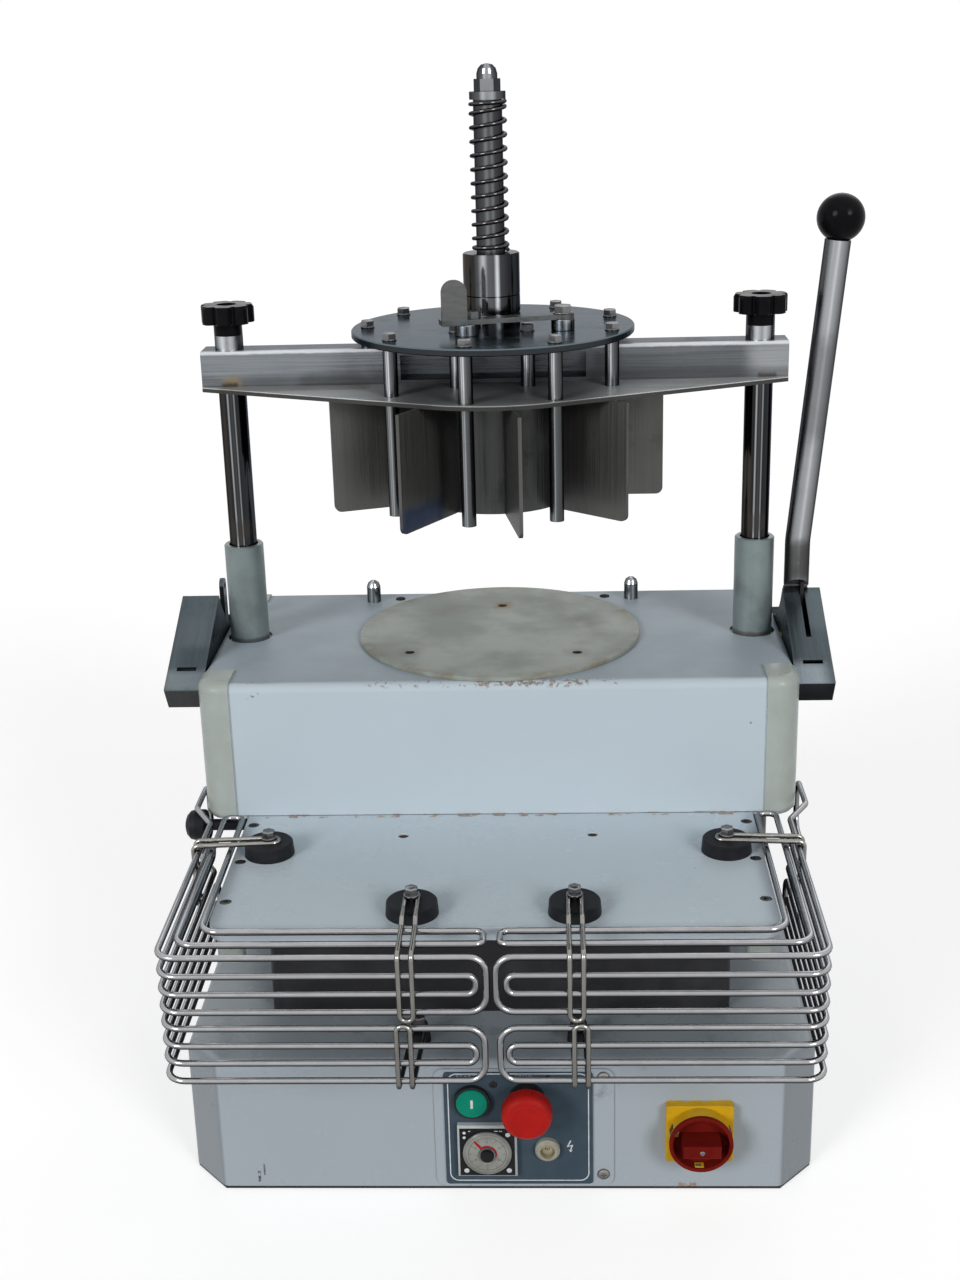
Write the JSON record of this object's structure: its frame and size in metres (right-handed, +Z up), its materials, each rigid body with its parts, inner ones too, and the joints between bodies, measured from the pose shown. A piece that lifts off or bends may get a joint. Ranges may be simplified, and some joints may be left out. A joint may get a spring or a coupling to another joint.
{
  "type": "dough divider rounder",
  "caption": "Bench-top dough divider rounder: a lever presses a head of radial knives and pusher rods onto an orbiting disc, with wire finger guards round the base.",
  "frame": {"origin": "centre of the base's footprint, on its underside", "axes": "+Z up, +X to the operator's right, -Y towards the operator"},
  "size_m": [0.5971, 0.5304, 0.8735],
  "materials": {
    "white_paint": "gloss",
    "dark_paint": "satin",
    "cream": "satin",
    "grey_steel": "galvanised",
    "bright_wire": "polished",
    "chrome": "polished",
    "steel": "machined",
    "castings": "cast",
    "bronze": "machined",
    "rubber": "matte",
    "black_plastic": "gloss",
    "panel_grey": "satin",
    "pale_plastic": "satin",
    "grey_plastic": "matte",
    "green_plastic": "gloss",
    "red_plastic": "gloss",
    "yellow_plastic": "gloss",
    "lamp": "gloss"
  },
  "bodies": {
    "base": {"base_pan": "dark_paint", "base_casing": "white_paint", "waist_housing": "dark_paint", "frame_plate": "dark_paint", "column_legs": "dark_paint", "top_cover": "white_paint", "upper_housing": "white_paint", "corner_trims": "cream", "guide_tubes": "grey_steel", "locating_studs": "chrome", "bearings": "bronze", "lever_cover_right": "grey_steel", "lever_cover_left": "grey_steel", "gas_springs": "steel", "drive_bracket": "dark_paint", "motor": "castings", "drive_belt": "rubber", "upper_guards": "bright_wire", "lower_guards": "bright_wire", "guard_buffers": "rubber", "side_stop": "rubber", "fixing_screws": "steel", "control_cover": "white_paint", "control_panel": "panel_grey", "button_collars": "black_plastic", "timer_body": "grey_plastic", "indicator_lamp": "lamp", "switch_plate": "yellow_plastic"},
    "press": {"column_left": "chrome", "column_right": "chrome", "press_beam": "grey_steel", "knife_plate": "grey_steel", "knife_tube": "steel", "knife_blades": "steel", "spindle": "chrome", "spindle_nut": "steel", "knob_bushes": "steel", "spindle_spring": "steel"},
    "lever": {"lever_tube": "grey_steel", "lever_ball": "black_plastic", "lever_hub": "grey_steel"},
    "cross_shaft": {"cross_shaft": "steel"},
    "ejector": {"ejector_plate": "steel", "ejector_sleeve": "steel", "ejector_rods": "chrome", "ejector_bolts": "steel"},
    "latch": {"latch_bar": "steel"},
    "knob_left": {"clamp_knob_left": "black_plastic"},
    "knob_right": {"clamp_knob_right": "black_plastic"},
    "start": {"start_button": "green_plastic"},
    "estop": {"estop_button": "red_plastic"},
    "timer": {"timer_dial": "black_plastic"},
    "switch": {"switch_knob": "red_plastic"},
    "crank": {"crank_shaft": "steel"},
    "idler": {"idler_crank": "steel"},
    "carrier": {"orbit_carrier": "castings", "rounding_disc": "pale_plastic", "disc_screws": "steel"},
    "pulley": {"motor_pulley": "steel"}
  },
  "joints": [
    {"name": "press_slide", "type": "slide", "parent": "base", "child": "press", "axis": [0, 0, -1], "range_m": [0, 0.122], "stiffness_N_per_m": 400, "springref_m": -0.9},
    {"name": "lever_swing", "type": "hinge", "parent": "base", "child": "lever", "pos_m": [0.262, 0.08, 0.368], "axis": [1, 0, 0], "range_deg": [0, 54.7]},
    {"name": "cross_spin", "type": "hinge", "parent": "base", "child": "cross_shaft", "pos_m": [0, 0.038, 0.30586], "axis": [1, 0, 0], "range_deg": [-218.8, 0]},
    {"name": "ejector_slide", "type": "slide", "parent": "press", "child": "ejector", "axis": [0, 0, 1], "range_m": [0, 0.08], "stiffness_N_per_m": 500, "springref_m": -0.06, "deforming": ["spindle_spring"]},
    {"name": "latch_swing", "type": "hinge", "parent": "ejector", "child": "latch", "pos_m": [0.0596, 0.05, 0.673], "axis": [0, 0, 1], "range_deg": [0, 60]},
    {"name": "knob_left_turn", "type": "hinge", "parent": "press", "child": "knob_left", "pos_m": [-0.227, 0.08, 0.66], "axis": [0, 0, 1], "continuous": true},
    {"name": "knob_right_turn", "type": "hinge", "parent": "press", "child": "knob_right", "pos_m": [0.227, 0.08, 0.66], "axis": [0, 0, 1], "continuous": true},
    {"name": "start_press", "type": "slide", "parent": "base", "child": "start", "axis": [0, 1, 0], "range_m": [0, 0.003], "stiffness_N_per_m": 600, "springref_m": -0.002},
    {"name": "estop_press", "type": "slide", "parent": "base", "child": "estop", "axis": [0, 1, 0], "range_m": [0, 0.004], "stiffness_N_per_m": 1200, "springref_m": -0.002},
    {"name": "timer_turn", "type": "hinge", "parent": "base", "child": "timer", "pos_m": [-0.0102, -0.215, 0.042], "axis": [0, -1, 0], "range_deg": [-240, 30]},
    {"name": "switch_turn", "type": "hinge", "parent": "base", "child": "switch", "pos_m": [0.1607, -0.22, 0.0588], "axis": [0, -1, 0], "range_deg": [-90, 0]},
    {"name": "crank_spin", "type": "hinge", "parent": "base", "child": "crank", "pos_m": [0, 0.084, 0.3], "axis": [0, 0, 1], "continuous": true},
    {"name": "carrier_orbit", "type": "hinge", "parent": "crank", "child": "carrier", "pos_m": [0, 0.08, 0.37], "axis": [0, 0, 1], "continuous": true},
    {"name": "idler_spin", "type": "hinge", "parent": "base", "child": "idler", "pos_m": [0.07, 0.084, 0.33], "axis": [0, 0, 1], "continuous": true},
    {"name": "pulley_spin", "type": "hinge", "parent": "base", "child": "pulley", "pos_m": [-0.115, 0.1, 0.15], "axis": [0, 0, 1], "continuous": true}
  ],
  "couplings": [
    {"joint": "lever_swing", "follows": "press_slide", "rad_per_m": 7.8125},
    {"joint": "cross_spin", "follows": "press_slide", "rad_per_m": -31.25},
    {"joint": "carrier_orbit", "follows": "crank_spin", "ratio": -1},
    {"joint": "idler_spin", "follows": "crank_spin", "ratio": 1},
    {"joint": "pulley_spin", "follows": "crank_spin", "ratio": 2.48}
  ]
}
